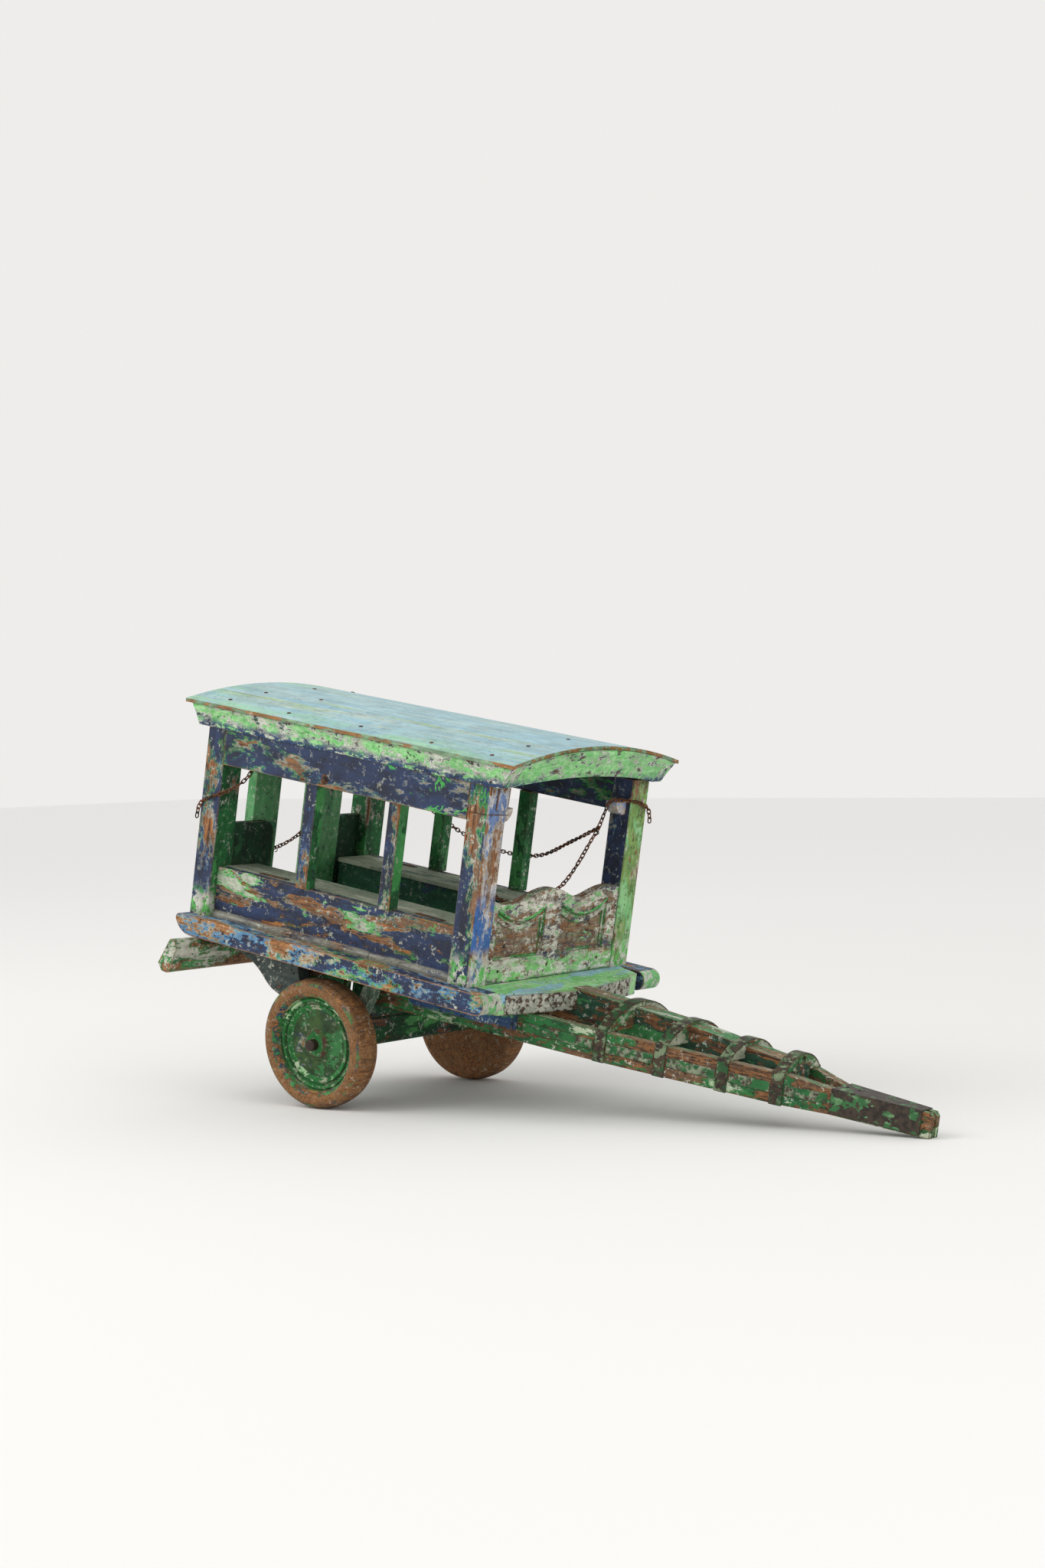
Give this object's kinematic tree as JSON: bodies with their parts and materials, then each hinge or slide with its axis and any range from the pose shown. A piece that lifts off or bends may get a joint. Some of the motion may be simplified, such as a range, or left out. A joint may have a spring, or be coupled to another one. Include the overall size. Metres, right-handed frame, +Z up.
{
  "type": "covered cart",
  "caption": "Small two-wheeled covered bullock cart of painted wood: crowned roof on posts, benches, carved front panel, tapering drawbar with strapped saddles, and hanging chains.",
  "frame": {"origin": "centre of the footprint at floor level, with the cart parked on its wheels and its drawbar's tip", "axes": "+X towards the drawbar's tip, +Y to the cart's left, +Z up; the cab leans nose-down by 10 degrees as it does when parked"},
  "size_m": [1.0894, 0.504, 0.5927],
  "materials": {
    "chain_iron": "small rusty iron links",
    "navy_paint": "worn navy blue paint over brown wood, with traces of green",
    "sky_paint": "worn pale blue paint with white and green streaks",
    "pale_green_paint": "worn pale green and white paint",
    "wheel_wood": "turned wood, green painted disc and bare brown rim",
    "front_paint": "layers of white, green and blue paint worn to the wood",
    "bench_paint": "grey-green paint worn by sitting",
    "rusty_iron": "forged iron, rusty",
    "tin_sheet": "embossed sheet metal, green paint mostly worn off",
    "drawbar_paint": "green paint worn to brown wood",
    "bare_wood": "bare dark wood",
    "peg_paint": "light blue and white paint",
    "frame_paint": "dull green paint over dark wood"
  },
  "bodies": {
    "cart": {"arch_front": "pale_green_paint", "arch_rear": "pale_green_paint", "axle_beam": "frame_paint", "axle_iron": "rusty_iron", "bench_apron_left": "bench_paint", "bench_apron_right": "bench_paint", "bench_left": "bench_paint", "bench_right": "bench_paint", "bolster": "bare_wood", "chain_door": "chain_iron", "chain_front": "chain_iron", "chain_rear": "chain_iron", "chain_side": "chain_iron", "cornice_left": "pale_green_paint", "cornice_right": "pale_green_paint", "door_post_left": "navy_paint", "door_post_right": "navy_paint", "drawbar_cheek_left": "drawbar_paint", "drawbar_cheek_right": "drawbar_paint", "drawbar_pole": "drawbar_paint", "drawbar_rail_left": "drawbar_paint", "drawbar_rail_right": "drawbar_paint", "floor_boards": "bare_wood", "front_board": "front_paint", "front_panel": "front_paint", "hanger_left": "frame_paint", "hanger_right": "frame_paint", "header_left": "navy_paint", "header_right": "navy_paint", "peg_left": "peg_paint", "peg_right": "peg_paint", "post_front_left": "navy_paint", "post_front_right": "navy_paint", "post_rear_left": "navy_paint", "post_rear_right": "navy_paint", "rear_cross_beam": "frame_paint", "rear_panel_left": "navy_paint", "rear_panel_right": "navy_paint", "roof_board": "sky_paint", "saddle_1": "drawbar_paint", "saddle_2": "drawbar_paint", "saddle_3": "drawbar_paint", "saddle_4": "drawbar_paint", "side_panel_left": "navy_paint", "side_panel_right": "navy_paint", "sill_left": "navy_paint", "sill_right": "navy_paint", "strap_1": "tin_sheet", "strap_2": "tin_sheet", "strap_3": "tin_sheet", "strap_4": "tin_sheet", "strut_left": "frame_paint", "strut_right": "frame_paint", "tip_sheath": "tin_sheet", "window_bar_left_1": "navy_paint", "window_bar_left_2": "navy_paint", "window_bar_right_1": "navy_paint", "window_bar_right_2": "navy_paint"},
    "left_wheel": {"wheel_left": "wheel_wood"},
    "right_wheel": {"wheel_right": "wheel_wood"}
  },
  "joints": [
    {"name": "left_wheel_turn", "type": "hinge", "parent": "cart", "child": "left_wheel", "pos_m": [-0.30833, 0.1717, 0.09], "axis": [-0.003, 0.9998, -0.0172], "continuous": true},
    {"name": "right_wheel_turn", "type": "hinge", "parent": "cart", "child": "right_wheel", "pos_m": [-0.30833, -0.1717, 0.09], "axis": [-0.0121, -0.9976, -0.0687], "continuous": true}
  ]
}
